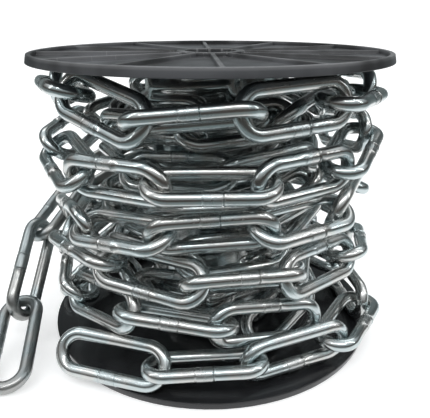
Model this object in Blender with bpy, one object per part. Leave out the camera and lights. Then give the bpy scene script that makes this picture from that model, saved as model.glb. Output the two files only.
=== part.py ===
"""A reel of zinc-plated long-link steel chain: a black plastic reel that stands on its lower flange, with the chain
wound on it in layers and a loose end that hangs out at the left and lies on the floor. Metres, +Z up, the origin on
the floor under the reel's axis, and the viewer at -Y."""

import math

import bpy
import numpy as np

# Chain: welded long-link chain of 4.6 mm wire.
WIRE = 0.0046
PITCH = 0.0336
LINK_WIDTH = 0.0172
BAR_OFFSET = (LINK_WIDTH - WIRE) / 2
CROWN_REACH = (PITCH + WIRE) / 2
LEAST_SPACING = PITCH - 0.0034
MOST_SPACING = PITCH - 0.0014

# Reel: two flanges on a barrel, each a web with a rim, a hub ring and ribs on its outer side.
FLANGE_RADIUS = 0.065
REEL_HEIGHT = 0.1076
RIM_HEIGHT = 0.0029
RIM_FLARE = 0.0006
RIM_WALL = 0.0022
WEB_THICKNESS = 0.0011
HUB_RADIUS = 0.0125
HUB_RECESS = 0.0002
BARREL_RADIUS = 0.012
BORE_RADIUS = 0.0095
RIB_COUNT = 12
RIB_OFFSET = 3
RIB_WIDTH = 0.0015
RIB_RECESS = 0.0004
RIB_OVERLAP = 0.0004

# Winding: the outer layer rests on the inner layers, which are one core.
CORE_RADIUS = 0.0445
CORE_RIDGES = 6
RIDGE_DEPTH = 0.0025
RIDGE_TOP = (0.3, 0.7)
GAP = 0.0003
JOIN_SPACING = 0.0030
JOIN_STEP = 0.0001
MOST_STRETCH = 0.0012
MOST_PLAY = 0.0007
STRAND_LINKS = 3

# How the links settle against each other.
CLEARANCE = 0.00035
SETTLE_ROUNDS = 700
HOLD = 0.02
PITCH_SWEEPS = 6
TURN_RADIUS = PITCH / 3

# How finely round pieces are divided.
CROWN_STEPS = 6
WIRE_SIDES = 6
FLANGE_STEPS = 48
BARREL_STEPS = 32

# Waypoints where one link hooks into the next, as (degrees round from the front towards +X, height, radius) in
# degrees and millimetres, and between two of them how far the link is rolled: 0 lies flat against the winding,
# 90 sticks out, and less than 90 has its outer bar high.
UPPER_RUN = [
    (-124, 92, 54), 10,
    (-90, 95, 54), 80,
    (-51, 98, 52), -25,
    (-26, 89.5, 58), 52,
    (12, 95, 58), -5,
    (45, 95, 54), 95,
    (78, 92, 61), 5,
    (111, 90, 57), 95,
    (145, 88, 56), 0,
    (179, 86, 57), 85,
    (213, 82, 57), -15,
    (247, 78, 60), 50,
    (280, 73, 61), 115,
    (312, 70, 58), 185,
    (341, 73, 59), 288,
    (376, 71.5, 59), 180,
    (411, 70, 58), 260,
    (441, 83, 61), 190,
    (473, 76, 57), 262,
    (508, 73, 57), 350,
    (543, 68, 58), 425,
    (577, 61, 62), 514,
    (607, 48, 69), 650,
    (633, 31, 67), 758,
    (649, 5.5, 80.5), 810,
    (672, 3.2, 91),
]
LOWER_RUN = [
    (-83, 48.5, 56.5), 10,
    (-52, 50, 59), 95,
    (-18, 56, 58), 35,
    (19, 61, 57), 110,
    (53, 59, 57), 20,
    (84, 57, 60), 100,
    (118, 54, 57), 10,
    (152, 52, 56), 95,
    (187, 50, 57), 5,
    (221, 46, 56.5), 85,
    (255, 42, 59), -10,
    (287, 40, 59), 110,
    (318, 42.5, 57), 120,
    (351, 40, 58), 41,
    (388.5, 38, 58), 185,
    (422, 38, 62), 255,
    (455, 32, 65), 185,
    (489, 33, 59), 270,
    (523, 33, 57), 180,
    (557, 32, 57), 270,
    (591, 31, 58), 180,
    (627, 29, 64), 190,
    (658, 18, 61), 185,
    (694, 25, 59), 240,
    (727.5, 26, 58), 200,
    (760, 25, 52),
]
BOTTOM_RUN = [
    (-50, 10, 59), 135,
    (-18.5, 10, 60), 95,
    (14, 13, 59), 15,
    (46, 13, 60), 90,
    (71, 11.5, 65), 5,
    (104, 12, 58), 95,
    (138, 12, 57), 5,
    (172, 12, 57), 95,
    (206, 12, 57), 5,
    (240, 11, 56), 95,
    (270, 9, 54),
]
LOOSE_LINKS = 4

ZINC = ("zinc plated steel", (0.62, 0.63, 0.63), 0.22, 1.0)
DARK_ZINC = ("zinc plated steel in shade", (0.34, 0.36, 0.36), 0.35, 1.0)
BLACK_PLASTIC = ("black plastic", (0.035, 0.037, 0.042), 0.35, 0.0)


def clear_scene():
    for item in list(bpy.data.objects):
        bpy.data.objects.remove(item, do_unlink=True)


def make_material(name, colour, roughness, metallic):
    material = bpy.data.materials.get(name) or bpy.data.materials.new(name)
    material.use_nodes = True
    shader = material.node_tree.nodes["Principled BSDF"]
    shader.inputs["Base Color"].default_value = (*colour, 1.0)
    shader.inputs["Roughness"].default_value = roughness
    shader.inputs["Metallic"].default_value = metallic
    return material


def add_object(name, mesh, material):
    item = bpy.data.objects.new(name, mesh)
    bpy.context.scene.collection.objects.link(item)
    mesh.materials.append(make_material(*material))
    mesh.shade_smooth()
    mesh.set_sharp_from_angle(angle=math.radians(40))


def mesh_from(points, faces):
    mesh = bpy.data.meshes.new("mesh")
    mesh.from_pydata([tuple(point) for point in points], [], [tuple(face) for face in faces])
    mesh.validate()
    return mesh


def point_at(azimuth, height, radius):
    """The place in metres of a waypoint given in degrees and millimetres."""
    turn = math.radians(azimuth)
    return (radius * math.sin(turn) / 1000, -radius * math.cos(turn) / 1000, height / 1000)


def read_run(run):
    """The joints of a run as an array of points, and the roll of each link in radians."""
    joints = np.array([point_at(*stop) for stop in run[0::2]])
    rolls = np.radians(np.array(run[1::2], dtype=float))
    return joints, rolls


def link_outline(steps):
    """The wire's centre line in the link's own plane: straight bars between two half-round crowns, as (along, across)
    points, with equal steps round each crown."""
    turn = np.linspace(-math.pi / 2, math.pi / 2, steps + 1)
    along = (CROWN_REACH - BAR_OFFSET) + BAR_OFFSET * np.cos(turn)
    across = BAR_OFFSET * np.sin(turn)
    return np.concatenate([np.stack([along, across], 1), np.stack([-along, -across], 1)])


def link_frames(starts, ends, rolls):
    """Centre, axis and across-vector of each link: the axis joins its two joints, and the across-vector is the
    outward direction and the one square to it, mixed by the roll."""
    centre = (starts + ends) / 2
    axis = ends - starts
    axis = axis / np.linalg.norm(axis, axis=1, keepdims=True)
    outward = centre * (1, 1, 0)
    outward = outward - axis * np.sum(outward * axis, axis=1, keepdims=True)
    outward = outward / np.linalg.norm(outward, axis=1, keepdims=True)
    upward = np.cross(outward, axis)
    across = np.cos(rolls)[:, None] * upward + np.sin(rolls)[:, None] * outward
    return centre, axis, across


def closest_points(p, q, r, s):
    """For segments p to q and r to s, the fractions along each where they come closest."""
    u = q - p
    v = s - r
    w = p - r
    a = np.sum(u * u, -1)
    b = np.sum(u * v, -1)
    c = np.sum(v * v, -1)
    d = np.sum(u * w, -1)
    e = np.sum(v * w, -1)
    spread = np.maximum(a * c - b * b, 1e-18)
    first = np.clip((b * e - c * d) / spread, 0, 1)
    second = np.clip((b * first + e) / c, 0, 1)
    first = np.clip((b * second - d) / a, 0, 1)
    return first, second


class Winding:
    """Links that start on their waypoints and settle until none cuts into another, the core or a flange."""

    def __init__(self, runs):
        joints = [read_run(run) for run in runs]
        self.points = np.concatenate([points for points, _ in joints])
        self.rolls = np.concatenate([rolls for _, rolls in joints])
        counts = [len(points) for points, _ in joints]
        firsts = np.cumsum([0] + counts[:-1])
        self.start = np.concatenate([first + np.arange(n - 1) for first, n in zip(firsts, counts)])
        self.run = np.concatenate([np.full(n - 1, k) for k, n in enumerate(counts)])
        self.targets = self.points.copy()
        self.wanted_rolls = self.rolls.copy()
        self.outline = link_outline(CROWN_STEPS)

    def wires(self):
        """The links' centres, axes and across-vectors, and the corners of their centre lines as (link, corner, xyz)."""
        centre, axis, across = link_frames(self.points[self.start], self.points[self.start + 1], self.rolls)
        along = self.outline[None, :, 0, None] * axis[:, None, :]
        aside = self.outline[None, :, 1, None] * across[:, None, :]
        return centre, axis, across, centre[:, None, :] + along + aside

    def near_pairs(self, centre):
        reach = 2 * CROWN_REACH + 2 * WIRE
        apart = np.linalg.norm(centre[:, None] - centre[None], axis=2)
        return np.nonzero(np.triu(apart < reach, 1))

    def contacts(self, centre, corners):
        """Every place where the wires of two links are too near: the links, the two points, and the depth."""
        first, second = self.near_pairs(centre)
        ahead = np.roll(corners, -1, axis=1)
        p = corners[first][:, :, None, :]
        q = ahead[first][:, :, None, :]
        r = corners[second][:, None, :, :]
        s = ahead[second][:, None, :, :]
        t, u = closest_points(p, q, r, s)
        here = p + (q - p) * t[..., None]
        there = r + (s - r) * u[..., None]
        gap = np.linalg.norm(here - there, axis=-1)
        deep = gap < WIRE + CLEARANCE
        pair = np.nonzero(deep)[0]
        away = (here - there)[deep] / np.maximum(gap[deep], 1e-6)[:, None]
        depth = WIRE + CLEARANCE - gap[deep]
        return first[pair], second[pair], here[deep], there[deep], away, depth

    def walls(self, corners):
        """Pushes that keep the wires off the core, the flanges and the floor, as (link, point, direction, depth)."""
        links = np.repeat(np.arange(len(corners)), corners.shape[1])
        ahead = np.roll(corners, -1, axis=1)
        p = corners.reshape(-1, 3)
        step = ahead.reshape(-1, 3) - p
        flat = step[:, :2]
        share = np.clip(-np.sum(p[:, :2] * flat, 1) / np.maximum(np.sum(flat * flat, 1), 1e-12), 0, 1)
        near = p + step * share[:, None]
        radius = np.linalg.norm(near[:, :2], axis=1)
        outward = near * (1, 1, 0) / np.maximum(radius, 1e-6)[:, None]
        radius_gap = CORE_RADIUS + WIRE / 2 + CLEARANCE - radius
        over_flange = np.linalg.norm(p[:, :2], axis=1) < FLANGE_RADIUS + WIRE
        low = np.where(over_flange, RIM_HEIGHT + CLEARANCE, 0.0) + WIRE / 2
        high = REEL_HEIGHT - RIM_HEIGHT - CLEARANCE - WIRE / 2
        up = np.tile((0.0, 0.0, 1.0), (len(p), 1))
        found = []
        for where, direction, depth in ((near, outward, radius_gap), (p, up, low - p[:, 2]), (p, -up, p[:, 2] - high)):
            hit = depth > 0
            found.append((links[hit], where[hit], direction[hit], depth[hit]))
        return [np.concatenate(column) for column in zip(*found)]

    def push(self, moves, counts, turns, turn_counts, links, where, direction, depth, centre, axis):
        """Adds one set of pushes to the links' joints and rolls."""
        offset = where - centre[links]
        along = np.sum(offset * axis[links], 1) / PITCH
        lever = np.cross(axis[links], offset)
        grip = np.sum(lever * direction, 1)
        size = np.sum(lever * lever, 1) + TURN_RADIUS ** 2
        for side, weight in ((0, 0.5 - along), (1, 0.5 + along)):
            np.add.at(moves, self.start[links] + side, (weight * depth)[:, None] * direction)
            np.add.at(counts, self.start[links] + side, np.abs(weight))
        np.add.at(turns, links, depth * grip / size)
        np.add.at(turn_counts, links, 1)

    def pull_to_pitch(self, sweeps):
        """Brings each link's two joints back to a spacing that its length allows, odd links and even in turn."""
        for _ in range(sweeps):
            for parity in (0, 1):
                links = self.start[parity::2]
                step = self.points[links + 1] - self.points[links]
                length = np.linalg.norm(step, axis=1, keepdims=True)
                fix = step * (1 - np.clip(length, LEAST_SPACING, MOST_SPACING) / length) / 2
                self.points[links] += fix
                self.points[links + 1] -= fix

    def settle(self, rounds):
        for number in range(rounds):
            hold = HOLD * (1 - number / rounds)
            self.points += hold * (self.targets - self.points)
            self.rolls += hold * (self.wanted_rolls - self.rolls)
            centre, axis, _, corners = self.wires()
            moves = np.zeros_like(self.points)
            counts = np.zeros(len(self.points))
            turns = np.zeros(len(self.rolls))
            turn_counts = np.zeros(len(self.rolls))
            first, second, here, there, away, depth = self.contacts(centre, corners)
            tally = (moves, counts, turns, turn_counts)
            self.push(*tally, first, here, away, depth / 2, centre, axis)
            self.push(*tally, second, there, -away, depth / 2, centre, axis)
            self.push(*tally, *self.walls(corners), centre, axis)
            self.points += moves / np.maximum(counts, 1)[:, None]
            self.rolls += turns / np.maximum(turn_counts, 1)
            self.pull_to_pitch(PITCH_SWEEPS)


def link_path(frame, insets):
    """A link's centre line in space, with its two ends drawn in by the insets."""
    centre, axis, across = frame
    outline = link_outline(CROWN_STEPS)
    half = len(outline) // 2
    outline[:half, 0] -= insets[1]
    outline[half:, 0] += insets[0]
    return centre + outline[:, :1] * axis + outline[:, 1:] * across


def link_mesh(frame, insets):
    """A link as a tube of WIRE_SIDES sides along its centre line, mitred at each corner."""
    path = link_path(frame, insets)
    normal = np.cross(frame[1], frame[2])
    run_out = np.roll(path, -1, axis=0) - path
    run_out = run_out / np.linalg.norm(run_out, axis=1, keepdims=True)
    ahead = run_out + np.roll(run_out, 1, axis=0)
    size = np.linalg.norm(ahead, axis=1, keepdims=True)
    aside = np.cross(ahead / size, normal) * (2 / size)
    turn = 2 * math.pi * (np.arange(WIRE_SIDES) + 0.5) / WIRE_SIDES
    ring = WIRE / 2 * (np.cos(turn)[None, :, None] * aside[:, None, :] + np.sin(turn)[None, :, None] * normal)
    points = (path[:, None, :] + ring).reshape(-1, 3)
    faces = []
    for i in range(len(path)):
        j = (i + 1) % len(path)
        for k in range(WIRE_SIDES):
            m = (k + 1) % WIRE_SIDES
            faces.append((i * WIRE_SIDES + k, j * WIRE_SIDES + k, j * WIRE_SIDES + m, i * WIRE_SIDES + m))
    return mesh_from(points, faces)


def least_gap(first, second):
    """The least distance between two closed centre lines."""
    p, q = first[:, None], np.roll(first, -1, axis=0)[:, None]
    r, s = second[None], np.roll(second, -1, axis=0)[None]
    t, u = closest_points(p, q, r, s)
    apart = p + (q - p) * t[..., None] - r - (s - r) * u[..., None]
    return np.linalg.norm(apart, axis=-1).min()


def join_inset(first, second):
    """How far the hooked ends of two links are drawn in, so that their crowns overlap and fuse."""
    inset = 0.0
    while least_gap(link_path(first, (0, inset)), link_path(second, (inset, 0))) > JOIN_SPACING:
        inset += JOIN_STEP
    return inset


def fuse(meshes):
    """One mesh of several that overlap, by a Boolean union."""
    base = bpy.data.objects.new("base", meshes[0])
    bpy.context.scene.collection.objects.link(base)
    helpers = [base]
    for mesh in meshes[1:]:
        helper = bpy.data.objects.new("helper", mesh)
        bpy.context.scene.collection.objects.link(helper)
        helpers.append(helper)
        union = base.modifiers.new("union", "BOOLEAN")
        union.operation = "UNION"
        union.solver = "EXACT"
        union.object = helper
    graph = bpy.context.evaluated_depsgraph_get()
    fused = bpy.data.meshes.new_from_object(base.evaluated_get(graph))
    for helper in helpers:
        bpy.data.objects.remove(helper, do_unlink=True)
    return fused


def hook_gap(first, second, inset):
    return least_gap(link_path(first, (0, inset)), link_path(second, (inset, 0)))


def clear_inset(first, second):
    """The like for links that stay apart: drawn in until each hangs in the other, or let out until they clear."""
    inset = 0.0
    while hook_gap(first, second, inset) > WIRE + MOST_PLAY:
        inset += JOIN_STEP
    longer = [inset - JOIN_STEP * step for step in range(round(MOST_STRETCH / JOIN_STEP))]
    gaps = [hook_gap(first, second, choice) for choice in longer]
    clear = [choice for choice, gap in zip(longer, gaps) if gap >= WIRE + GAP]
    return clear[0] if clear else longer[gaps.index(max(gaps))]


def make_run(label, frames, cuts, loose_count):
    """The links of one run, cut into strands before the links that cuts names, and its loose end into links."""
    wound = len(frames) - loose_count
    cuts = cuts + list(range(wound, len(frames)))
    insets = [0.0]
    for number, pair in enumerate(zip(frames, frames[1:]), 1):
        insets.append(clear_inset(*pair) if number in cuts else join_inset(*pair))
    insets.append(0.0)
    edges = [0, *cuts, len(frames)]
    for number, (first, last) in enumerate(zip(edges, edges[1:]), 1):
        meshes = [link_mesh(frames[link], insets[link:link + 2]) for link in range(first, last)]
        name = f"{label}_{number:02d}" if first < wound else f"loose_end_link_{last - wound}"
        add_object(name, fuse(meshes), ZINC)


def roomy_cuts(frames):
    """Where a run is cut into strands of about STRAND_LINKS: at the hook with the most room near each even cut."""
    gaps = [hook_gap(*pair, clear_inset(*pair)) for pair in zip(frames, frames[1:])]
    count = math.ceil(len(frames) / STRAND_LINKS)
    cuts = []
    for number in range(1, count):
        even = len(frames) * number // count
        near = [cut for cut in (even, even - 1, even + 1) if cut > sum(cuts[-1:]) and cut < len(frames)]
        cuts.append(max(near, key=lambda cut: gaps[cut - 1]))
    return cuts


def make_links(winding):
    """Every run of chain, with the loose end cut into single links and the rest into strands."""
    frames = list(zip(*winding.wires()[:3]))
    for run, label in enumerate(("upper_turns", "lower_turns", "bottom_turn")):
        links = [frame for frame, its_run in zip(frames, winding.run) if its_run == run]
        loose_count = LOOSE_LINKS if label == "upper_turns" else 0
        make_run(label, links, roomy_cuts(links[:len(links) - loose_count]), loose_count)


def turned(profile, steps):
    """A closed ring of the given (radius, height) outline, turned round the reel's axis."""
    points = []
    faces = []
    count = len(profile)
    for i in range(steps):
        azimuth = 360 * i / steps
        points.extend(point_at(azimuth, 1000 * height, 1000 * radius) for radius, height in profile)
    for i in range(steps):
        j = (i + 1) % steps
        for k in range(count):
            m = (k + 1) % count
            faces.append((i * count + k, j * count + k, j * count + m, i * count + m))
    return mesh_from(points, faces)


def flange_profile(outside, inside):
    """Outline of a flange from its outer face at height outside to its chain side at height inside: a flared rim,
    a recessed web and a hub ring, from the bore outwards and back."""
    up = 1 if outside > inside else -1
    web = inside + up * WEB_THICKNESS
    hub = outside - up * HUB_RECESS
    return [
        (BORE_RADIUS, inside),
        (FLANGE_RADIUS, inside),
        (FLANGE_RADIUS - RIM_FLARE, outside),
        (FLANGE_RADIUS - RIM_WALL, outside),
        (FLANGE_RADIUS - RIM_WALL, web),
        (HUB_RADIUS, web),
        (HUB_RADIUS, hub),
        (BORE_RADIUS, hub),
    ]


def rib(azimuth, outside, inside):
    """A rib across the web of the flange between those heights: a bar from the hub ring to the rim."""
    up = 1 if outside > inside else -1
    heights = sorted((outside - up * RIB_RECESS, inside + up * (WEB_THICKNESS - RIB_OVERLAP)))
    reach = (HUB_RADIUS - RIB_OVERLAP, FLANGE_RADIUS - RIM_WALL + RIB_OVERLAP)
    turn = math.radians(azimuth)
    away = np.array((math.sin(turn), -math.cos(turn), 0.0))
    aside = np.array((math.cos(turn), math.sin(turn), 0.0)) * RIB_WIDTH / 2
    points = []
    for height in heights:
        for radius, side in ((reach[0], -1), (reach[1], -1), (reach[1], 1), (reach[0], 1)):
            points.append(radius * away + side * aside + (0, 0, height))
    faces = [(3, 2, 1, 0), (4, 5, 6, 7), (0, 1, 5, 4), (1, 2, 6, 5), (2, 3, 7, 6), (3, 0, 4, 7)]
    return mesh_from(points, faces)


def make_flange(name, outside, inside):
    profile = flange_profile(outside, inside)
    if outside < inside:
        profile.reverse()
    azimuths = [RIB_OFFSET + 360 * number / RIB_COUNT for number in range(RIB_COUNT)]
    ribs = [rib(azimuth, outside, inside) for azimuth in azimuths]
    add_object(name, fuse([turned(profile, FLANGE_STEPS), *ribs]), BLACK_PLASTIC)


def make_reel():
    top_inside = REEL_HEIGHT - RIM_HEIGHT
    make_flange("upper_flange", REEL_HEIGHT, top_inside)
    make_flange("lower_flange", 0.0, RIM_HEIGHT)
    bottom = RIM_HEIGHT + GAP
    top = top_inside - GAP
    barrel = [(BORE_RADIUS, bottom), (BARREL_RADIUS, bottom), (BARREL_RADIUS, top), (BORE_RADIUS, top)]
    add_object("barrel", turned(barrel, BARREL_STEPS), BLACK_PLASTIC)


def make_core():
    """The layers under the outer one: a ring with one shallow ridge for each turn."""
    bottom = RIM_HEIGHT + GAP
    top = REEL_HEIGHT - RIM_HEIGHT - GAP
    inner = BARREL_RADIUS + GAP
    crest = CORE_RADIUS - GAP
    rise = (top - bottom) / CORE_RIDGES
    profile = [(inner, bottom)]
    for number in range(CORE_RIDGES):
        low = bottom + rise * number
        profile.append((crest - RIDGE_DEPTH, low))
        profile.extend((crest, low + rise * share) for share in RIDGE_TOP)
    profile.append((crest - RIDGE_DEPTH, top))
    profile.append((inner, top))
    add_object("inner_chain", turned(profile, BARREL_STEPS), DARK_ZINC)


def main():
    clear_scene()
    make_reel()
    make_core()
    winding = Winding([UPPER_RUN, LOWER_RUN, BOTTOM_RUN])
    winding.settle(SETTLE_ROUNDS)
    make_links(winding)


main()
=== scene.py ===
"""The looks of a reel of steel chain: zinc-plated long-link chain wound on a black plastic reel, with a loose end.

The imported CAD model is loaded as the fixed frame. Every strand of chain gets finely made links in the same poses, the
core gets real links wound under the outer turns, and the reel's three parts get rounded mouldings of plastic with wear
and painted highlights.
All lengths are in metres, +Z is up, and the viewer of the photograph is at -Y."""

import functools
import math

import bpy
import numpy as np
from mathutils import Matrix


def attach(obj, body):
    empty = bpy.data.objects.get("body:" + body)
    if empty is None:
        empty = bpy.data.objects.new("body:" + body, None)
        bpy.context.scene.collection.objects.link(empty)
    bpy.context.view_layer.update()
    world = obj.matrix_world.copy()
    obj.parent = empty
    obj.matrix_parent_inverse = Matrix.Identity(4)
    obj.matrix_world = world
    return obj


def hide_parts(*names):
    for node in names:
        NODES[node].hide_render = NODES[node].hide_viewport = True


bl_info = {
    "name": "Chain Reel",
    "version": (1, 0, 0),
    "blender": (4, 5, 0),
    "location": "3D View > Sidebar > Chain Reel",
    "description": "Dresses a reel of steel chain with links, mouldings, materials, a floor and lights",
    "category": "Object",
}

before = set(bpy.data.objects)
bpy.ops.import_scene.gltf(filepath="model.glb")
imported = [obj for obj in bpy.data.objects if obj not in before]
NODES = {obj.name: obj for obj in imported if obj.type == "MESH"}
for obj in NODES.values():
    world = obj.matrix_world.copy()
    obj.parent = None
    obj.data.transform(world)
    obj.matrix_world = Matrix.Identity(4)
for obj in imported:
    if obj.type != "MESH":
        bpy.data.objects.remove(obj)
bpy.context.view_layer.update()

# Chain: welded long-link chain of 4.6 mm wire, as in the CAD source.
WIRE = 0.0046
PITCH = 0.0336
LINK_WIDTH = 0.0172
BAR_OFFSET = (LINK_WIDTH - WIRE) / 2
CROWN_REACH = (PITCH + WIRE) / 2
LEAST_SPACING = PITCH - 0.0034
MOST_SPACING = PITCH - 0.0014

# Reel, as in the CAD source.
FLANGE_RADIUS = 0.065
REEL_HEIGHT = 0.1076
RIM_HEIGHT = 0.0029
RIM_FLARE = 0.0006
RIM_WALL = 0.0022
WEB_THICKNESS = 0.0011
HUB_RADIUS = 0.0125
HUB_RECESS = 0.0002
BARREL_RADIUS = 0.012
BORE_RADIUS = 0.0095
RIB_COUNT = 12
RIB_OFFSET = 3
RIB_WIDTH = 0.0015
RIB_RECESS = 0.0004
GAP = 0.0003

# How finely the mouldings are made: the rounding of their corners, the points on each corner, the longest step along
# an outline, and the points round the barrel.
FLANGE_ROUNDING = 0.00035
FLANGE_CORNER = 5
FLANGE_STEP = 0.0035
BARREL_ROUNDING = 0.0003
BARREL_CORNER = 4
BARREL_STEP = 0.02
BARREL_COLUMNS = 96

# How the links settle against each other, as in the CAD source.
CORE_RADIUS = 0.0445
CLEARANCE = 0.00035
SETTLE_ROUNDS = 700
HOLD = 0.02
PITCH_SWEEPS = 6
TURN_RADIUS = PITCH / 3
CROWN_STEPS = 6

# The layer under the outer turns winds up the reel evenly, its links rolled one way and the other by turns. The core
# under it has the innermost turns in relief.
INNER_RADIUS = 0.0375
INNER_TURNS = 5.6
INNER_START = 20
INNER_LOW = 0.0115
INNER_HIGH = 0.096
INNER_FLOOR = 0.027
INNER_ROLLS = (135, 45)
ROLL_SPREAD = 14
INNER_ROUNDS = 500
INNER_SEED = 3
DEEP_RADIUS = 0.0245
DEEP_RISE = 0.0105
DEEP_COLUMNS = 260
DEEP_ROWS = 150

# Each edge of a weld has a groove inside it and a ridge outside it. The faint edge has this share of the sharp one.
WELD_BLEND = 0.00012
RIDGE_PLACE = 0.00022
RIDGE_WIDTH = 0.00018
GROOVE_PLACE = 0.00014
GROOVE_WIDTH = 0.00016
FAINT_EDGE = 0.4

# A link is turned over, so that its weld shows, where its unwelded bar points outward by more than this cosine.
WELD_FACING = 0.4

# Waypoints where one link hooks into the next, as (degrees round from the front towards +X, height, radius) in
# degrees and millimetres, and between two of them how far the link is rolled: 0 lies flat against the winding,
# 90 sticks out, and less than 90 has its outer bar high. They are the CAD source's own.
UPPER_RUN = [
    (-124, 92, 54), 10,
    (-90, 95, 54), 80,
    (-51, 98, 52), -25,
    (-26, 89.5, 58), 52,
    (12, 95, 58), -5,
    (45, 95, 54), 95,
    (78, 92, 61), 5,
    (111, 90, 57), 95,
    (145, 88, 56), 0,
    (179, 86, 57), 85,
    (213, 82, 57), -15,
    (247, 78, 60), 50,
    (280, 73, 61), 115,
    (312, 70, 58), 185,
    (341, 73, 59), 288,
    (376, 71.5, 59), 180,
    (411, 70, 58), 260,
    (441, 83, 61), 190,
    (473, 76, 57), 262,
    (508, 73, 57), 350,
    (543, 68, 58), 425,
    (577, 61, 62), 514,
    (607, 48, 69), 650,
    (633, 31, 67), 758,
    (649, 5.5, 80.5), 810,
    (672, 3.2, 91),
]
LOWER_RUN = [
    (-83, 48.5, 56.5), 10,
    (-52, 50, 59), 95,
    (-18, 56, 58), 35,
    (19, 61, 57), 110,
    (53, 59, 57), 20,
    (84, 57, 60), 100,
    (118, 54, 57), 10,
    (152, 52, 56), 95,
    (187, 50, 57), 5,
    (221, 46, 56.5), 85,
    (255, 42, 59), -10,
    (287, 40, 59), 110,
    (318, 42.5, 57), 120,
    (351, 40, 58), 41,
    (388.5, 38, 58), 185,
    (422, 38, 62), 255,
    (455, 32, 65), 185,
    (489, 33, 59), 270,
    (523, 33, 57), 180,
    (557, 32, 57), 270,
    (591, 31, 58), 180,
    (627, 29, 64), 190,
    (658, 18, 61), 185,
    (694, 25, 59), 240,
    (727.5, 26, 58), 200,
    (760, 25, 52),
]
BOTTOM_RUN = [
    (-50, 10, 59), 135,
    (-18.5, 10, 60), 95,
    (14, 13, 59), 15,
    (46, 13, 60), 90,
    (71, 11.5, 65), 5,
    (104, 12, 58), 95,
    (138, 12, 57), 5,
    (172, 12, 57), 95,
    (206, 12, 57), 5,
    (240, 11, 56), 95,
    (270, 9, 54),
]

# Camera, fitted to the photograph: its place, how far it looks down and to the right, and its lens for the sensor.
CAMERA_PLACE = (0.0, -0.1976, 0.1206)
CAMERA_DOWN = 20.91
CAMERA_RIGHT = 0.46
SENSOR_WIDTH = 36.0
PHOTO_WIDTH = 430
FOCAL_PIXELS = 516.9

# Soft boxes: name, place, target, width, height and watts.
REEL_MIDDLE = (0.0, 0.0, 0.05)
SOFT_BOXES = (
    ("back softbox", (0.0, 0.95, 1.3), (0.0, 0.9, 0.0), 2.4, 0.6, 8.0),
    ("front strip", (0.05, -0.58, 0.80), REEL_MIDDLE, 1.2, 0.055, 2.6),
    ("left softbox", (-0.85, -0.25, 0.75), REEL_MIDDLE, 0.05, 0.9, 1.4),
    ("right softbox", (0.85, -0.15, 0.75), REEL_MIDDLE, 0.05, 0.9, 1.4),
)

# The room and the floor as they are seen, and as the chain mirrors them. The floor's mirrored colours are painted
# reflections of a dark room.
ROOM_SEEN = (0.95, 0.95, 0.95)
ROOM_BAND = (0.075, 0.064, 0.056)
ROOM_WALLS = (0.44, 0.455, 0.46)
ROOM_CEILING = (0.95, 0.98, 1.0)
FLOOR_GLOW = 0.42
FLOOR_PAINTED_REFLECTION_FAR = (0.06, 0.052, 0.046)
FLOOR_PAINTED_REFLECTION_NEAR = (0.25, 0.285, 0.285)

# The dark tone that each link's zinc leans towards by a random amount, and the pale tone of the plastic's scuffs and
# of the painted highlight on the upper flange's crests.
ZINC_SHADE = (0.2, 0.215, 0.215)
SCUFF_AND_HIGHLIGHT_PALE = (0.34, 0.34, 0.345)


# Shader maths as Python expressions.

class Value:
    """A socket's value, which adds Math nodes when it is used in an expression."""

    def __init__(self, paint, socket):
        self.paint = paint
        self.socket = socket

    def __add__(self, other):
        return self.paint.maths("ADD", self, other)

    __radd__ = __add__

    def __mul__(self, other):
        return self.paint.maths("MULTIPLY", self, other)

    __rmul__ = __mul__

    def __sub__(self, other):
        return self.paint.maths("SUBTRACT", self, other)

    def __rsub__(self, other):
        return self.paint.maths("SUBTRACT", other, self)

    def __truediv__(self, other):
        return self.paint.maths("DIVIDE", self, other)

    def __pow__(self, other):
        return self.paint.maths("POWER", self, other)

    def between(self, low, high):
        """0 below low, 1 above high, and a smooth step from one to the other."""
        inputs = {"Value": self, "From Min": low, "From Max": high}
        settings = {"interpolation_type": "SMOOTHSTEP"}
        return self.paint.node("ShaderNodeMapRange", settings, inputs)["Result"]


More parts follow.
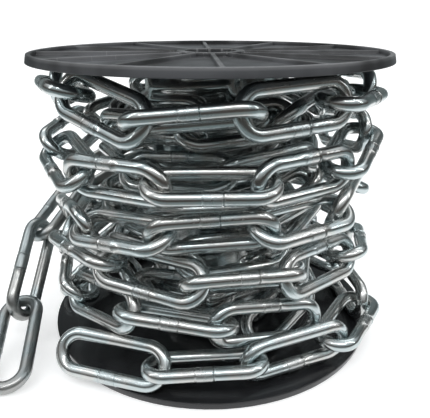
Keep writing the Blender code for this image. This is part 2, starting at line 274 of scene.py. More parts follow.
class Paint:
    """The node tree of one material or of the world, with one method that makes every node."""

    def __init__(self, owner):
        owner.use_nodes = True
        self.tree = owner.node_tree

    def connect(self, socket, value):
        if isinstance(value, Value):
            self.tree.links.new(value.socket, socket)
        elif isinstance(value, tuple) and socket.type == "RGBA" and len(value) == 3:
            socket.default_value = (*value, 1.0)
        else:
            socket.default_value = value

    def node(self, kind, settings, inputs):
        """Adds a node, sets its settings, fills its sockets, and returns its outputs by name."""
        made = self.tree.nodes.new(kind)
        for key, value in settings.items():
            setattr(made, key, value)
        for key, value in inputs.items():
            self.connect(made.inputs[key], value)
        return {socket.name: Value(self, socket) for socket in made.outputs if socket.enabled}

    def shader(self, **inputs):
        """Fills sockets of the material's own shader, named with _ for a space."""
        surface = self.tree.nodes["Principled BSDF"]
        for key, value in inputs.items():
            self.connect(surface.inputs[key.replace("_", " ")], value)

    def maths(self, operation, *operands):
        return self.node("ShaderNodeMath", {"operation": operation}, dict(enumerate(operands)))["Value"]

    def attribute(self, name, output="Fac"):
        return self.node("ShaderNodeAttribute", {"attribute_name": name}, {})[output]

    def seen_directly(self):
        """1 for what is seen itself, and 0 for what is only mirrored or lights something else."""
        return self.node("ShaderNodeLightPath", {}, {})["Is Camera Ray"]

    def object_place(self):
        return self.node("ShaderNodeTexCoord", {}, {})["Object"]

    def stretched(self, vector, scale):
        inputs = {0: vector, 1: scale}
        return self.node("ShaderNodeVectorMath", {"operation": "MULTIPLY"}, inputs)["Vector"]

    def noise(self, vector, scale, detail=2.0, roughness=0.5):
        inputs = {"Vector": vector, "Scale": scale, "Detail": detail, "Roughness": roughness}
        return self.node("ShaderNodeTexNoise", {}, inputs)["Fac"]

    def mix(self, factor, first, second):
        settings = {"data_type": "RGBA"}
        inputs = {0: factor, 6: first, 7: second}
        return self.node("ShaderNodeMix", settings, inputs)["Result"]

    def bump(self, height, distance, normal=None):
        inputs = {"Height": height, "Distance": distance, "Strength": 1.0}
        if normal is not None:
            inputs["Normal"] = normal
        return self.node("ShaderNodeBump", {}, inputs)["Normal"]


def material_named(name):
    material = bpy.data.materials.new(name)
    return material, Paint(material)


def zinc_material(name, colour, shade, roughness):
    """Bright zinc plating on drawn wire: streaks along the wire, soft warm and green clouds, dull scuffs, and a rough
    darker zone where each link is welded."""
    material, paint = material_named(name)
    wire = paint.attribute("wire", "Vector")
    weld = paint.attribute("weld")
    tone = paint.attribute("tone")
    place = paint.object_place()
    streaks = paint.noise(paint.stretched(wire, (90.0, 1500.0, 1500.0)), 1.0, 3.0, 0.6)
    clouds = paint.noise(place, 95.0, 2.0)
    dents = paint.noise(place, 420.0, 2.0)
    grain = paint.noise(place, 2600.0, 3.0, 0.7)
    scuffs = paint.noise(paint.stretched(wire, (260.0, 900.0, 900.0)), 1.0, 4.0, 0.75).between(0.62, 0.72)
    red, green, blue = colour
    warm = (red * 1.02, green * 0.975, blue * 0.93)
    cool = (red * 0.93, green * 0.985, blue * 0.975)
    metal = paint.mix(clouds.between(0.4, 0.6), warm, cool)
    dull = tuple(channel * 0.72 for channel in colour)
    metal = paint.mix(scuffs * 0.45 + weld * grain * 0.35, metal, dull)
    metal = paint.mix((1 - tone) * shade, metal, ZINC_SHADE)
    rough = roughness + 0.10 * streaks.between(0.35, 0.75) + 0.14 * scuffs + 0.10 * weld * grain
    height = streaks * 0.4 + dents * 0.2 + weld * grain * 0.5
    paint.shader(
        Base_Color=metal,
        Metallic=1.0,
        Roughness=rough + 0.05 * tone,
        Normal=paint.bump(height, 0.00006),
    )
    return material


def plastic_material(name, colour, roughness, dust):
    """Black moulded plastic: a fine skin, rings of rubbing round the axis, pale scuffs, chips round the hub, dust, and
    a painted highlight on the crests of the upper flange's ribs and rim."""
    material, paint = material_named(name)
    place = paint.object_place()
    split = paint.node("ShaderNodeSeparateXYZ", {}, {"Vector": place})
    across, deep = split["X"], split["Y"]
    radius = (across * across + deep * deep) ** 0.5
    around = paint.node("ShaderNodeCombineXYZ", {}, {"X": radius * 1400.0, "Y": across * 14.0, "Z": deep * 14.0})
    rings = paint.noise(around["Vector"], 1.0, 4.0, 0.65)
    clouds = paint.noise(place, 38.0, 3.0)
    skin = paint.noise(place, 1800.0, 2.0)
    chips = paint.noise(place, 520.0, 5.0, 0.8)
    hub = 1 - radius.between(0.014, 0.020)
    flecks = chips.between(0.68, 0.74) + hub * chips.between(0.56, 0.62)
    rubbed = rings.between(0.60, 0.78) * clouds.between(0.42, 0.62)
    red, green, blue = colour
    grey = (red + 0.078, green + 0.081, blue + 0.088)
    body = paint.mix(clouds.between(0.35, 0.7) * dust, colour, grey)
    # A painted highlight, pale where the upper flange's ribs and rim reach the top, is mixed in with the rubbing and
    # chips.
    painted_crest_highlight = split["Z"].between(REEL_HEIGHT - 0.0012, REEL_HEIGHT - 0.0004)
    wear_and_painted_light = rubbed * 0.55 + flecks * 0.35 + painted_crest_highlight * clouds.between(0.3, 0.6) * 0.3
    body = paint.mix(wear_and_painted_light * dust, body, SCUFF_AND_HIGHLIGHT_PALE)
    paint.shader(
        Base_Color=body,
        Roughness=roughness + 0.16 * clouds * dust + 0.2 * rubbed + 0.06 * skin,
        Specular_IOR_Level=0.4 + 0.12 * dust,
        Normal=paint.bump(skin * 0.25 + rings * 0.35 + clouds * 0.8, 0.00010),
    )
    return material


# Meshes from whole arrays.

def grid_faces(rows, columns, close_rows):
    """Quads over a grid of points that closes on itself along its columns, and along its rows where told to."""
    i = np.arange(rows if close_rows else rows - 1)[:, None]
    j = np.arange(columns)[None, :]
    after_i = (i + 1) % rows
    after_j = (j + 1) % columns
    corners = [i * columns + j, after_i * columns + j, after_i * columns + after_j, i * columns + after_j]
    return np.stack(np.broadcast_arrays(*corners), -1).reshape(-1, 4)


def put_mesh(name, points, faces, material, **attributes):
    """A smooth mesh object from (n, 3) points and (m, 4) faces, with float or vector attributes on its points."""
    mesh = bpy.data.meshes.new(name)
    mesh.vertices.add(len(points))
    mesh.vertices.foreach_set("co", np.asarray(points, np.float32).ravel())
    mesh.loops.add(faces.size)
    mesh.loops.foreach_set("vertex_index", faces.astype(np.int32).ravel())
    mesh.polygons.add(len(faces))
    mesh.polygons.foreach_set("loop_start", np.arange(0, faces.size, 4, dtype=np.int32))
    mesh.polygons.foreach_set("use_smooth", np.ones(len(faces), bool))
    for key, values in attributes.items():
        flat = np.asarray(values, np.float32)
        kind, slot = ("FLOAT_VECTOR", "vector") if flat.ndim == 2 else ("FLOAT", "value")
        mesh.attributes.new(key, kind, "POINT").data.foreach_set(slot, flat.ravel())
    mesh.update(calc_edges=True)
    mesh.validate()
    mesh.materials.append(material)
    item = bpy.data.objects.new(name, mesh)
    bpy.context.scene.collection.objects.link(item)
    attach(item, "root")
    return item


# How the chain lies: the CAD source's own solver.

def point_at(azimuth, height, radius):
    """The place in metres of a waypoint given in degrees and millimetres."""
    turn = math.radians(azimuth)
    return (radius * math.sin(turn) / 1000, -radius * math.cos(turn) / 1000, height / 1000)


def read_run(run):
    """The joints of a run as an array of points, and the roll of each link in radians."""
    joints = np.array([point_at(*stop) for stop in run[0::2]])
    rolls = np.radians(np.array(run[1::2], dtype=float))
    return joints, rolls


def link_outline(steps):
    """The wire's centre line in the link's own plane: straight bars between two half-round crowns, as (along, across)
    points, with equal steps round each crown."""
    turn = np.linspace(-math.pi / 2, math.pi / 2, steps + 1)
    along = (CROWN_REACH - BAR_OFFSET) + BAR_OFFSET * np.cos(turn)
    across = BAR_OFFSET * np.sin(turn)
    return np.concatenate([np.stack([along, across], 1), np.stack([-along, -across], 1)])


def link_frames(starts, ends, rolls):
    """Centre, axis and across-vector of each link: the axis joins its two joints, and the across-vector is the
    outward direction and the one square to it, mixed by the roll."""
    centre = (starts + ends) / 2
    axis = ends - starts
    axis = axis / np.linalg.norm(axis, axis=1, keepdims=True)
    outward = centre * (1, 1, 0)
    outward = outward - axis * np.sum(outward * axis, axis=1, keepdims=True)
    outward = outward / np.linalg.norm(outward, axis=1, keepdims=True)
    upward = np.cross(outward, axis)
    across = np.cos(rolls)[:, None] * upward + np.sin(rolls)[:, None] * outward
    return centre, axis, across


def closest_points(p, q, r, s):
    """For segments p to q and r to s, the fractions along each where they come closest."""
    u = q - p
    v = s - r
    w = p - r
    a = np.sum(u * u, -1)
    b = np.sum(u * v, -1)
    c = np.sum(v * v, -1)
    d = np.sum(u * w, -1)
    e = np.sum(v * w, -1)
    spread = np.maximum(a * c - b * b, 1e-18)
    first = np.clip((b * e - c * d) / spread, 0, 1)
    second = np.clip((b * first + e) / c, 0, 1)
    first = np.clip((b * second - d) / a, 0, 1)
    return first, second


class Winding:
    """Links that start on their waypoints and are pushed off each other, the core and the flanges, round after round.
    At the end hooked links may still cut into each other, by up to 0.6 mm, and one other pair does by 0.07 mm."""

    floor_radius = CORE_RADIUS

    def __init__(self, runs):
        joints = [read_run(run) for run in runs]
        self.points = np.concatenate([points for points, _ in joints])
        self.rolls = np.concatenate([rolls for _, rolls in joints])
        counts = [len(points) for points, _ in joints]
        firsts = np.cumsum([0] + counts[:-1])
        self.start = np.concatenate([first + np.arange(n - 1) for first, n in zip(firsts, counts)])
        self.targets = self.points.copy()
        self.wanted_rolls = self.rolls.copy()
        self.outline = link_outline(CROWN_STEPS)

    def wires(self):
        """The links' centres, axes and across-vectors, and the corners of their centre lines as (link, corner,
        xyz)."""
        centre, axis, across = link_frames(self.points[self.start], self.points[self.start + 1], self.rolls)
        along = self.outline[None, :, 0, None] * axis[:, None, :]
        aside = self.outline[None, :, 1, None] * across[:, None, :]
        return centre, axis, across, centre[:, None, :] + along + aside

    def near_pairs(self, centre):
        reach = 2 * CROWN_REACH + 2 * WIRE
        apart = np.linalg.norm(centre[:, None] - centre[None], axis=2)
        return np.nonzero(np.triu(apart < reach, 1))

    def contacts(self, centre, corners):
        """Every place where the wires of two links are too near: the links, the two points, and the depth."""
        first, second = self.near_pairs(centre)
        ahead = np.roll(corners, -1, axis=1)
        p = corners[first][:, :, None, :]
        q = ahead[first][:, :, None, :]
        r = corners[second][:, None, :, :]
        s = ahead[second][:, None, :, :]
        t, u = closest_points(p, q, r, s)
        here = p + (q - p) * t[..., None]
        there = r + (s - r) * u[..., None]
        gap = np.linalg.norm(here - there, axis=-1)
        deep = gap < WIRE + CLEARANCE
        pair = np.nonzero(deep)[0]
        away = (here - there)[deep] / np.maximum(gap[deep], 1e-6)[:, None]
        depth = WIRE + CLEARANCE - gap[deep]
        return first[pair], second[pair], here[deep], there[deep], away, depth

    def walls(self, corners):
        """Pushes on wires that are too near the core, a flange or the floor, as (link, point, direction, depth)."""
        links = np.repeat(np.arange(len(corners)), corners.shape[1])
        ahead = np.roll(corners, -1, axis=1)
        p = corners.reshape(-1, 3)
        step = ahead.reshape(-1, 3) - p
        flat = step[:, :2]
        share = np.clip(-np.sum(p[:, :2] * flat, 1) / np.maximum(np.sum(flat * flat, 1), 1e-12), 0, 1)
        near = p + step * share[:, None]
        radius = np.linalg.norm(near[:, :2], axis=1)
        outward = near * (1, 1, 0) / np.maximum(radius, 1e-6)[:, None]
        radius_gap = self.floor_radius + WIRE / 2 + CLEARANCE - radius
        over_flange = np.linalg.norm(p[:, :2], axis=1) < FLANGE_RADIUS + WIRE
        low = np.where(over_flange, RIM_HEIGHT + CLEARANCE, 0.0) + WIRE / 2
        high = REEL_HEIGHT - RIM_HEIGHT - CLEARANCE - WIRE / 2
        up = np.tile((0.0, 0.0, 1.0), (len(p), 1))
        found = []
        pushes = ((near, outward, radius_gap), (p, up, low - p[:, 2]), (p, -up, p[:, 2] - high))
        for where, direction, depth in pushes:
            hit = depth > 0
            found.append((links[hit], where[hit], direction[hit], depth[hit]))
        return [np.concatenate(column) for column in zip(*found)]

    def push(self, tally, links, where, direction, depth, centre, axis):
        """Adds one set of pushes to the tally of the links' joints and rolls."""
        moves, counts, turns, turn_counts = tally
        offset = where - centre[links]
        along = np.sum(offset * axis[links], 1) / PITCH
        lever = np.cross(axis[links], offset)
        grip = np.sum(lever * direction, 1)
        size = np.sum(lever * lever, 1) + TURN_RADIUS ** 2
        for side, weight in ((0, 0.5 - along), (1, 0.5 + along)):
            np.add.at(moves, self.start[links] + side, (weight * depth)[:, None] * direction)
            np.add.at(counts, self.start[links] + side, np.abs(weight))
        np.add.at(turns, links, depth * grip / size)
        np.add.at(turn_counts, links, 1)

    def pull_to_pitch(self, sweeps):
        """Brings each link's two joints back to a spacing that its length allows, odd links and even in turn."""
        for _ in range(sweeps):
            for parity in (0, 1):
                links = self.start[parity::2]
                step = self.points[links + 1] - self.points[links]
                length = np.linalg.norm(step, axis=1, keepdims=True)
                fix = step * (1 - np.clip(length, LEAST_SPACING, MOST_SPACING) / length) / 2
                self.points[links] += fix
                self.points[links + 1] -= fix

    def settle(self, rounds):
        for number in range(rounds):
            hold = HOLD * (1 - number / rounds)
            self.points += hold * (self.targets - self.points)
            self.rolls += hold * (self.wanted_rolls - self.rolls)
            centre, axis, _, corners = self.wires()
            moves = np.zeros_like(self.points)
            counts = np.zeros(len(self.points))
            turns = np.zeros(len(self.rolls))
            turn_counts = np.zeros(len(self.rolls))
            first, second, here, there, away, depth = self.contacts(centre, corners)
            tally = (moves, counts, turns, turn_counts)
            self.push(tally, first, here, away, depth / 2, centre, axis)
            self.push(tally, second, there, -away, depth / 2, centre, axis)
            self.push(tally, *self.walls(corners), centre, axis)
            self.points += moves / np.maximum(counts, 1)[:, None]
            self.rolls += turns / np.maximum(turn_counts, 1)
            self.pull_to_pitch(PITCH_SWEEPS)


class InnerWinding(Winding):
    """The layer under the outer turns, which has the outer turns' floor as its roof."""

    floor_radius = INNER_FLOOR

    def walls(self, corners):
        links = np.repeat(np.arange(len(corners)), corners.shape[1])
        p = corners.reshape(-1, 3)
        radius = np.linalg.norm(p[:, :2], axis=1)
        inward = -p * (1, 1, 0) / radius[:, None]
        depth = radius + WIRE / 2 - CORE_RADIUS
        hit = depth > 0
        roof = (links[hit], p[hit], inward[hit], depth[hit])
        return [np.concatenate(column) for column in zip(super().walls(corners), roof)]


def inner_run():
    """The waypoints and rolls of the layer under the outer turns, in the form of the runs above."""
    chance = np.random.default_rng(INNER_SEED)
    step = 2 * math.degrees(math.asin((LEAST_SPACING + MOST_SPACING) / 4 / INNER_RADIUS))
    count = int(INNER_TURNS * 360 / step)
    run = []
    for number in range(count + 1):
        height = INNER_LOW + (INNER_HIGH - INNER_LOW) * number / count
        run.append((INNER_START + step * number, 1000 * height, 1000 * INNER_RADIUS))
        run.append(INNER_ROLLS[number % 2] + chance.uniform(-ROLL_SPREAD, ROLL_SPREAD))
    return run[:-1]


@functools.lru_cache(maxsize=1)
def outer_links():
    """Centres, axes, across-vectors and wire corners of the outer turns and the loose end."""
    winding = Winding([UPPER_RUN, LOWER_RUN, BOTTOM_RUN])
    winding.settle(SETTLE_ROUNDS)
    return winding.wires()


# Shapes.

def wire_stations(weld_half, crown_steps):
    """Lengths along the wire from the middle of the weld round to it again: fine steps through the weld and its two
    edges, coarse steps along the bars, and equal steps round the crowns."""
    bar = CROWN_REACH - BAR_OFFSET
    crown = math.pi * BAR_OFFSET
    whole = 4 * bar + 2 * crown
    edge = np.array([-0.6, -0.36, -0.2, -0.1, 0.0, 0.1, 0.2, 0.36, 0.6]) / 1000
    weld = np.concatenate([np.linspace(0, weld_half - 0.0009, 5), weld_half + edge])
    first = np.linspace(weld[-1], bar, 5)[1:-1]
    round_first = bar + np.linspace(0, crown, crown_steps + 1)
    far_bar = np.linspace(bar + crown, 3 * bar + crown, 9)[1:-1]
    half = np.concatenate([weld, first, round_first])
    return np.concatenate([half, far_bar, (whole - half[1:])[::-1]]), whole


def wire_line(stations):
    """The centre line in the link's plane at each station, and the heading there. The weld is in the middle of the
    bar at minus BAR_OFFSET, and the wire runs from there along the bar, round a crown, back along the other bar and
    round the other crown."""
    bar = CROWN_REACH - BAR_OFFSET
    crown = math.pi * BAR_OFFSET
    first = np.clip((stations - bar) / crown, 0, 1)
    second = np.clip((stations - 3 * bar - crown) / crown, 0, 1)
    heading = math.pi * (first + second)
    straight = np.where(stations < bar + crown / 2, np.minimum(stations, bar), bar)
    back = np.clip(stations - bar - crown, 0, 2 * bar)
    last = np.maximum(stations - 3 * bar - 2 * crown, 0)
    along = straight - back + last + BAR_OFFSET * np.sin(heading)
    across = -BAR_OFFSET * np.cos(heading)
    return along, across, heading


def wire_radius(stations, whole, weld_half, weld_rise):
    """Half the wire's thickness at each station: plain, a little thicker across the weld, and with a groove and a
    ridge at each edge of it, sharp at one edge and faint at the other."""
    away = np.minimum(stations, whole - stations)
    inside = 1 / (1 + np.exp((away - weld_half) / WELD_BLEND))
    ridge = np.exp(-((away - weld_half - RIDGE_PLACE) / RIDGE_WIDTH) ** 2)
    groove = np.exp(-((away - weld_half + GROOVE_PLACE) / GROOVE_WIDTH) ** 2)
    strength = np.where(stations < whole / 2, 1.0, FAINT_EDGE)
    return WIRE / 2 + weld_rise * (0.3 * inside + strength * (0.8 * ridge - 2.0 * groove)), inside


def links_mesh(name, centre, axis, across, sizes, material, slot, seed):
    """Every link as a round tube carried along its centre line. A point is the link's centre, plus its place along
    and across the link, plus the wire's radius times the cosine of the turn round the wire along the outward normal
    in the link's plane, and times the sine of it along the plane's own normal."""
    stations, whole = wire_stations(sizes.weld_length / 2, sizes.crown_steps)
    along, aside, heading = wire_line(stations)
    radius, weld = wire_radius(stations, whole, sizes.weld_length / 2, sizes.weld_rise)
    turn = 2 * math.pi * np.arange(sizes.wire_sides) / sizes.wire_sides
    lift = radius[:, None] * np.cos(turn)
    side = radius[:, None] * np.sin(turn)
    u = along[:, None] + lift * np.sin(heading)[:, None]
    v = aside[:, None] - lift * np.cos(heading)[:, None]
    normal = np.cross(axis, across)
    points = centre[:, None, None] + u[None, ..., None] * axis[:, None, None]
    points = points + v[None, ..., None] * across[:, None, None] + side[None, ..., None] * normal[:, None, None]
    count = len(centre)
    per_link = grid_faces(len(stations), len(turn), True)[:, ::-1]
    faces = (per_link[None] + (np.arange(count) * len(stations) * len(turn))[:, None, None]).reshape(-1, 4)
    chance = np.random.default_rng(seed)
    tone = chance.uniform(0, 1, count)
    shift = chance.uniform(0, 5, count)
    wire = np.stack(np.broadcast_arrays(stations[:, None], lift, side), -1)
    wire = wire[None] + np.stack([shift, 0 * shift, 0 * shift], 1)[:, None, None]
    item = put_mesh(
        name,
        points.reshape(-1, 3),
        faces,
        material,
        wire=wire.reshape(-1, 3),
        weld=np.tile(np.repeat(weld, len(turn)), count),
        tone=np.repeat(tone, len(stations) * len(turn)),
    )
    return item


def weld_outward(centre, across):
    """The across-vectors, reversed on each link that stands on edge with its unwelded bar outward, because the
    photograph shows the welds on the outer bars. A link is the same shape either way."""
    outward = centre * (1, 1, 0)
    outward = outward / np.linalg.norm(outward, axis=1, keepdims=True)
    facing = np.sum(across * outward, axis=1, keepdims=True)
    return np.where(facing > WELD_FACING, -across, across)


def strands():
    """Which links each CAD strand holds: a link goes with the node whose points lie nearest its wire."""
    corners = outer_links()[3]
    names = sorted(name for name in NODES if "turn" in name or "loose_end" in name)
    apart = []
    for name in names:
        mesh = NODES[name].data
        points = np.empty(3 * len(mesh.vertices), np.float32)
        mesh.vertices.foreach_get("co", points)
        gaps = np.linalg.norm(corners[:, :, None] - points.reshape(-1, 3), axis=3)
        apart.append(gaps.min(axis=2).mean(axis=1))
    nearest = np.argmin(apart, axis=0)
    if np.min(apart, axis=0).max() > WIRE:
        raise RuntimeError("a link here lies away from every strand of the packed model")
    return {name: np.nonzero(nearest == number)[0] for number, name in enumerate(names)}


def rounded(profile, radius, steps):
    """The closed outline with each corner replaced by a curve: the parabola between two points that lie the radius,
    or less on a short edge, back from the corner."""
    corner = np.array(profile, float)
    before = np.roll(corner, 1, axis=0) - corner
    after = np.roll(corner, -1, axis=0) - corner
    before_length = np.linalg.norm(before, axis=1, keepdims=True)
    after_length = np.linalg.norm(after, axis=1, keepdims=True)
    start = corner + before / before_length * np.minimum(radius, 0.4 * before_length)
    end = corner + after / after_length * np.minimum(radius, 0.4 * after_length)
    t = np.linspace(0, 1, steps)[None, :, None]
    curve = (1 - t) ** 2 * start[:, None] + 2 * t * (1 - t) * corner[:, None] + t ** 2 * end[:, None]
    return curve.reshape(-1, 2)


def spaced(outline, step):
    """The closed outline with points added so that no edge is longer than the step."""
    ahead = np.roll(outline, -1, axis=0)
    length = np.linalg.norm(ahead - outline, axis=1)
    pieces = []
    for here, there, size in zip(outline, ahead, length):
        share = np.arange(max(1, math.ceil(size / step))) / max(1, math.ceil(size / step))
        pieces.append(here + (there - here) * share[:, None])
    return np.concatenate(pieces)


def flange(name, outside, inside, material):
    """A flange turned from its rounded outline, with ribs. Each column of points keeps its distance from its rib's
    middle line, so its azimuth is the rib's plus the arcsine of that distance over the radius, and between two ribs
    the azimuth is shared evenly. The web's height there is the higher of the outline and the rib."""
    hub_height = RIM_HEIGHT - HUB_RECESS
    outline = [
        (BORE_RADIUS, 0.0),
        (FLANGE_RADIUS, 0.0),
        (FLANGE_RADIUS - RIM_FLARE, RIM_HEIGHT),
        (FLANGE_RADIUS - RIM_WALL, RIM_HEIGHT),
        (FLANGE_RADIUS - RIM_WALL, WEB_THICKNESS),
        (HUB_RADIUS, WEB_THICKNESS),
        (HUB_RADIUS, hub_height),
        (BORE_RADIUS, hub_height),
    ]
    radius, height = spaced(rounded(outline, FLANGE_ROUNDING, FLANGE_CORNER), FLANGE_STEP).T
    half = RIB_WIDTH / 2
    offset = np.array([-1.7, -1.2, -1.04, -0.98, -0.9, -0.5, 0.0, 0.5, 0.9, 0.98, 1.04, 1.2, 1.7]) * half
    rise = np.array([0.0, 0.015, 0.08, 0.9, 0.985, 1.0, 1.0, 1.0, 0.985, 0.9, 0.08, 0.015, 0.0])
    rib_top = RIM_HEIGHT - RIB_RECESS - WEB_THICKNESS
    reach = np.clip(radius, HUB_RADIUS, FLANGE_RADIUS - RIM_WALL)
    near = np.arcsin(offset[None, :] / reach[:, None])
    pitch = 2 * math.pi / RIB_COUNT
    share = np.linspace(0, 1, 8)[1:-1]
    between = near[:, -1:] + (pitch + near[:, :1] - near[:, -1:]) * share
    sector = np.concatenate([near, between], axis=1)
    lift = np.concatenate([rise, 0 * share]) * rib_top
    ribs = math.radians(RIB_OFFSET) + pitch * np.arange(RIB_COUNT)
    azimuth = (ribs[None, :, None] + sector[:, None, :]).reshape(len(radius), -1)
    lift = np.tile(lift, RIB_COUNT)
    on_web = height[:, None] > WEB_THICKNESS / 2
    raised = np.maximum(height[:, None], WEB_THICKNESS + lift[None, :])
    level = np.where(on_web, raised, height[:, None])
    up = 1 if outside > inside else -1
    points = np.stack([
        radius[:, None] * np.sin(azimuth),
        -radius[:, None] * np.cos(azimuth),
        inside + up * level,
    ], -1)
    faces = grid_faces(*level.shape, True)
    if up > 0:
        faces = faces[:, ::-1]
    return put_mesh(name, points.reshape(-1, 3), faces, material)


def turned(name, outline, columns, material):
    """A closed outline of (radius, height) points carried round the axis in a full circle."""
    radius, height = np.asarray(outline).T
    azimuth = 2 * math.pi * np.arange(columns) / columns
    level = np.broadcast_to(height[:, None], (len(height), columns))
    points = np.stack([radius[:, None] * np.sin(azimuth), -radius[:, None] * np.cos(azimuth), level], -1)
    faces = grid_faces(len(radius), columns, True)[:, ::-1]
    return put_mesh(name, points.reshape(-1, 3), faces, material)


def deep_core(name, material):
    """The innermost turns as a ring whose outer face has links in relief. The chain is unrolled into a strip: the
    length along it is the radius times the azimuth, counted on from turn to turn, and rows lie DEEP_RISE apart. Every
    other link lies flat, and a point's distance from its wire is that from the middle line of a stadium. The links
    between stand on edge, as one bar each. The face rises over a wire by the root of the wire's radius squared less
    that distance squared."""
    low, high = RIM_HEIGHT + GAP, REEL_HEIGHT - RIM_HEIGHT - GAP
    azimuth = np.linspace(0, 2 * math.pi, DEEP_COLUMNS, endpoint=False)[None, :]
    level = np.linspace(low, high, DEEP_ROWS)[:, None]
    bar = CROWN_REACH - BAR_OFFSET
    half = WIRE / 2
    relief = np.zeros((DEEP_ROWS, DEEP_COLUMNS))
    for row in range(-1, math.ceil(high / DEEP_RISE) + 1):
        length = DEEP_RADIUS * (azimuth + 2 * math.pi * row)
        above = level - low - DEEP_RISE * (row + azimuth / (2 * math.pi))
        flat = (length + PITCH) % (2 * PITCH) - PITCH
        stadium = np.abs(np.hypot(np.maximum(np.abs(flat) - bar, 0), above) - BAR_OFFSET)
        edge = length % (2 * PITCH) - PITCH
        single = np.hypot(np.maximum(np.abs(edge) - bar, 0), above)
        wires = np.minimum(stadium, single)
        relief = np.maximum(relief, np.sqrt(np.maximum(half ** 2 - wires ** 2, 0)))
    radius = DEEP_RADIUS + relief
    radius[[0, -1]] = DEEP_RADIUS
    inner = np.full((1, DEEP_COLUMNS), BARREL_RADIUS + GAP)
    radius = np.concatenate([inner, radius, inner])
    level = np.broadcast_to(np.concatenate([level[:1], level, level[-1:]]), radius.shape)
    points = np.stack([radius * np.sin(azimuth), -radius * np.cos(azimuth), level], -1)
    return put_mesh(name, points.reshape(-1, 3), grid_faces(*radius.shape, True)[:, ::-1], material)


# Stage.

def sweep(name, material):
    """The floor and the backdrop as one sheet: level from the front, then a quarter circle, then upright, carried
    straight across."""
    front, wall, top, wide, bend = -2.2, 1.5, 2.4, 2.6, 0.45
    level = np.linspace(front, wall - bend, 12)
    turn = np.linspace(0, math.pi / 2, 17)[1:]
    deep = np.concatenate([level, wall - bend + bend * np.sin(turn), [wall]])
    height = np.concatenate([0 * level, bend - bend * np.cos(turn), [top]])
    across = np.linspace(-wide, wide, 3)
    points = np.stack(np.broadcast_arrays(across[None, :], deep[:, None], height[:, None]), -1)
    i = np.arange(len(deep) - 1)[:, None] * 3 + np.arange(2)[None, :]
    faces = np.stack([i, i + 1, i + 4, i + 3], -1).reshape(-1, 4)
    mesh = bpy.data.meshes.new(name)
    mesh.from_pydata(points.reshape(-1, 3).tolist(), [], faces.tolist())
    mesh.polygons.foreach_set("use_smooth", np.ones(len(faces), bool))
    mesh.materials.append(material)
    item = bpy.data.objects.new(name, mesh)
    bpy.context.scene.collection.objects.link(item)
    return item


def floor_material(colour):
    """Matt paper that glows, evenly pale where it is seen itself. What the chain mirrors of it, and the light it
    gives, are painted: pale and glowing only round the reel, and elsewhere a painted reflection of a dark room
    without glow, grey nearer and dark brown further off to the front."""
    material, paint = material_named("pale paper with painted reflections")
    place = paint.object_place()
    split = paint.node("ShaderNodeSeparateXYZ", {}, {"Vector": place})
    aside = paint.maths("ABSOLUTE", split["X"])
    front = split["Y"].between(-0.11, -0.065)
    sides = (aside - 0.5 * split["Y"]).between(0.14, 0.30)
    behind = split["Y"].between(0.2, 0.6)
    # Reflections and the floor's own light see it pale only round the reel. Elsewhere the chain mirrors painted
    # reflections.
    pale = paint.maths("MAXIMUM", front * (1 - sides) * (1 - behind), paint.seen_directly())
    mirrored = paint.mix(split["Y"].between(-0.36, -0.13), FLOOR_PAINTED_REFLECTION_FAR, FLOOR_PAINTED_REFLECTION_NEAR)
    mottle = paint.noise(place, 9.0, 3.0)
    dim = tuple(channel * 0.97 for channel in colour)
    paint.shader(
        Base_Color=paint.mix(pale, mirrored, paint.mix(mottle, colour, dim)),
        Roughness=0.9,
        Specular_IOR_Level=0.1,
        Emission_Color=paint.mix(pale, (0.0, 0.0, 0.0), (1.0, 1.0, 1.0)),
        Emission_Strength=FLOOR_GLOW,
    )
    return material


def soft_light(name, place, target, width, height, power):
    """A rectangular soft box at a place, turned to a target."""
    light = bpy.data.lights.new(name, "AREA")
    light.shape = "RECTANGLE"
    light.size = width
    light.size_y = height
    light.energy = power
    item = bpy.data.objects.new(name, light)
    bpy.context.scene.collection.objects.link(item)
    offset = [there - here for here, there in zip(place, target)]
    level = math.hypot(offset[0], offset[1])
    item.location = place
    item.rotation_euler = (math.atan2(level, -offset[2]), 0, math.atan2(offset[1], offset[0]) - math.pi / 2)


def studio_world():
    """A plain pale room, which the chain mirrors with a dark brown band at eye level and a light ceiling."""
    world = bpy.data.worlds.new("studio")
    bpy.context.scene.world = world
    paint = Paint(world)
    place = paint.node("ShaderNodeTexCoord", {}, {})["Generated"]
    height = paint.node("ShaderNodeSeparateXYZ", {}, {"Vector": place})["Z"]
    walls = paint.mix(height.between(0.1, 0.42), ROOM_BAND, ROOM_WALLS)
    mirrored = paint.mix(height.between(0.42, 0.75), walls, ROOM_CEILING)
    background = paint.tree.nodes["Background"]
    paint.connect(background.inputs["Color"], paint.mix(paint.seen_directly(), mirrored, ROOM_SEEN))


def photo_camera():
    """The camera at the photograph's viewing angle."""
    data = bpy.data.cameras.new("photo camera")
    data.sensor_width = SENSOR_WIDTH
    data.lens = FOCAL_PIXELS * SENSOR_WIDTH / PHOTO_WIDTH
    data.clip_start = 0.01
    data.clip_end = 20.0
    item = bpy.data.objects.new("photo camera", data)
    bpy.context.scene.collection.objects.link(item)
    item.location = CAMERA_PLACE
    item.rotation_euler = (math.radians(90 - CAMERA_DOWN), 0, math.radians(-CAMERA_RIGHT))
    bpy.context.scene.camera = item


# The add-on.

class LinkSizes(bpy.types.PropertyGroup):
    """How finely the links are made, and their welds."""

    wire_sides: bpy.props.IntProperty(
        name="Wire sides", description="Points round the wire", default=16, min=6, max=32)
    crown_steps: bpy.props.IntProperty(
        name="Crown steps", description="Steps round each crown", default=14, min=4, max=32)
    weld_length: bpy.props.FloatProperty(
        name="Weld length", description="Length of the welded zone on a bar", default=0.0062, unit="LENGTH")
    weld_rise: bpy.props.FloatProperty(
        name="Weld rise", description="How far the weld stands out of the wire", default=0.00025, unit="LENGTH")


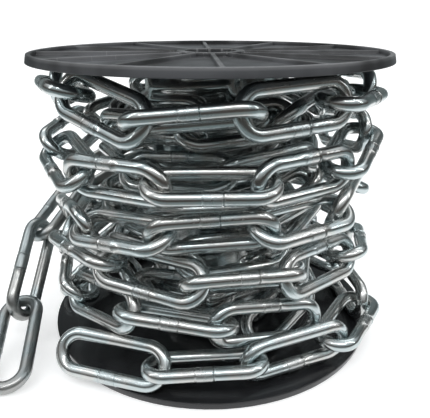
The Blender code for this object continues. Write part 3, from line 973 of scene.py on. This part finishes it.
class Finish(bpy.types.PropertyGroup):
    """Colours and gloss of the zinc and the plastic."""

    zinc_colour: bpy.props.FloatVectorProperty(
        name="Zinc", description="Colour of the plating", default=(0.59, 0.62, 0.635), subtype="COLOR")
    zinc_roughness: bpy.props.FloatProperty(
        name="Zinc roughness", description="How dull the plating is", default=0.16, subtype="FACTOR")
    # The loose end's zinc is this share as bright as the rest: painted shade that stands in for dark reflections.
    loose_end_painted_shade_share: bpy.props.FloatProperty(
        name="Loose end share", description="How bright the worn loose end is, as a share of the rest", default=0.62,
        subtype="FACTOR")
    plastic_colour: bpy.props.FloatVectorProperty(
        name="Plastic", description="Colour of the reel", default=(0.016, 0.0165, 0.018), subtype="COLOR")
    plastic_roughness: bpy.props.FloatProperty(
        name="Plastic roughness", description="How dull the reel is", default=0.24, subtype="FACTOR")
    floor_colour: bpy.props.FloatVectorProperty(
        name="Floor", description="Colour of the paper under the reel", default=(0.86, 0.86, 0.86), subtype="COLOR")


class CHAINREEL_OT_reel(bpy.types.Operator):
    """Make the two flanges and the barrel as rounded mouldings of black plastic, with wear and painted highlights"""

    bl_idname = "chainreel.reel"
    bl_label = "Reel"

    def execute(self, context):
        finish = context.scene.chain_finish
        colour = tuple(finish.plastic_colour)
        dusty = plastic_material("dusty black plastic", colour, finish.plastic_roughness + 0.1, 1.0)
        glossy = plastic_material("glossy black plastic", colour, finish.plastic_roughness - 0.1, 0.08)
        top_inside = REEL_HEIGHT - RIM_HEIGHT
        upper = flange("upper_flange_moulding", REEL_HEIGHT, top_inside, dusty)
        lower = flange("lower_flange_moulding", 0.0, RIM_HEIGHT, glossy)
        low, high = RIM_HEIGHT + GAP, top_inside - GAP
        wall = [(BORE_RADIUS, low), (BARREL_RADIUS, low), (BARREL_RADIUS, high), (BORE_RADIUS, high)]
        outline = spaced(rounded(wall, BARREL_ROUNDING, BARREL_CORNER), BARREL_STEP)
        barrel = turned("barrel_tube", outline, BARREL_COLUMNS, glossy)
        for item, node in ((upper, "upper_flange"), (lower, "lower_flange"), (barrel, "barrel")):
            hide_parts(node)
        return {"FINISHED"}


class CHAINREEL_OT_outer_links(bpy.types.Operator):
    """Make the links of the outer turns and the loose end, one piece for each CAD strand"""

    bl_idname = "chainreel.outer_links"
    bl_label = "Outer links"

    def execute(self, context):
        scene = context.scene
        finish = scene.chain_finish
        bright = zinc_material("bright zinc", tuple(finish.zinc_colour), 0.12, finish.zinc_roughness)
        # The loose end gets a darker, rougher copy of the zinc. Its darkness is painted shade that stands in for dark
        # reflections.
        painted_shade_colour = tuple(channel * finish.loose_end_painted_shade_share for channel in finish.zinc_colour)
        wear_and_painted_light = zinc_material("dull zinc with painted shade", painted_shade_colour, 0.2, finish.zinc_roughness + 0.08)
        centre, axis, across, _ = outer_links()
        across = weld_outward(centre, across)
        for seed, (name, links) in enumerate(strands().items()):
            zinc = wear_and_painted_light if "loose_end" in name else bright
            pose = (centre[links], axis[links], across[links])
            item = links_mesh(f"{name}_links", *pose, scene.chain_links, zinc, "zinc_steel", seed)
            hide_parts(name)
        return {"FINISHED"}


class CHAINREEL_OT_inner_links(bpy.types.Operator):
    """Make the layer of links under the outer turns, and the core of links in relief under that"""

    bl_idname = "chainreel.inner_links"
    bl_label = "Inner links"

    def execute(self, context):
        scene = context.scene
        finish = scene.chain_finish
        zinc = zinc_material("shaded zinc", tuple(finish.zinc_colour), 0.12, finish.zinc_roughness)
        winding = InnerWinding([inner_run()])
        winding.settle(INNER_ROUNDS)
        centre, axis, across, _ = winding.wires()
        links = links_mesh(
            "inner_turns_links", centre, axis, across, scene.chain_links, zinc, "inner_steel", INNER_SEED)
        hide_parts("inner_chain")
        core = deep_core("deep_turns_core", zinc)
        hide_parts("inner_chain")
        return {"FINISHED"}


class CHAINREEL_OT_stage(bpy.types.Operator):
    """Set the pale floor, the soft lights, the room and the camera"""

    bl_idname = "chainreel.stage"
    bl_label = "Stage"

    def execute(self, context):
        sweep("floor", floor_material(tuple(context.scene.chain_finish.floor_colour)))
        for soft_box in SOFT_BOXES:
            soft_light(*soft_box)
        studio_world()
        photo_camera()
        bpy.context.scene.view_settings.view_transform = "Standard"
        return {"FINISHED"}


class CHAINREEL_PT_panel(bpy.types.Panel):
    """Sizes, colours and pieces of the chain reel"""

    bl_idname = "CHAINREEL_PT_panel"
    bl_label = "Chain Reel"
    bl_space_type = "VIEW_3D"
    bl_region_type = "UI"
    bl_category = "Chain Reel"

    def draw(self, context):
        for group in (context.scene.chain_links, context.scene.chain_finish):
            for key in group.__annotations__:
                self.layout.prop(group, key)
        for operator in OPERATORS:
            self.layout.operator(operator.bl_idname)


GROUPS = (LinkSizes, Finish)
OPERATORS = (CHAINREEL_OT_stage, CHAINREEL_OT_reel, CHAINREEL_OT_outer_links, CHAINREEL_OT_inner_links)


def register():
    for item in (*GROUPS, *OPERATORS, CHAINREEL_PT_panel):
        bpy.utils.register_class(item)
    bpy.types.Scene.chain_links = bpy.props.PointerProperty(type=LinkSizes)
    bpy.types.Scene.chain_finish = bpy.props.PointerProperty(type=Finish)


def unregister():
    del bpy.types.Scene.chain_finish
    del bpy.types.Scene.chain_links
    for item in (CHAINREEL_PT_panel, *reversed(OPERATORS), *reversed(GROUPS)):
        bpy.utils.unregister_class(item)


def main():
    register()
    bpy.ops.chainreel.stage()
    bpy.ops.chainreel.reel()
    bpy.ops.chainreel.outer_links()
    bpy.ops.chainreel.inner_links()


if __name__ == "__main__":
    main()
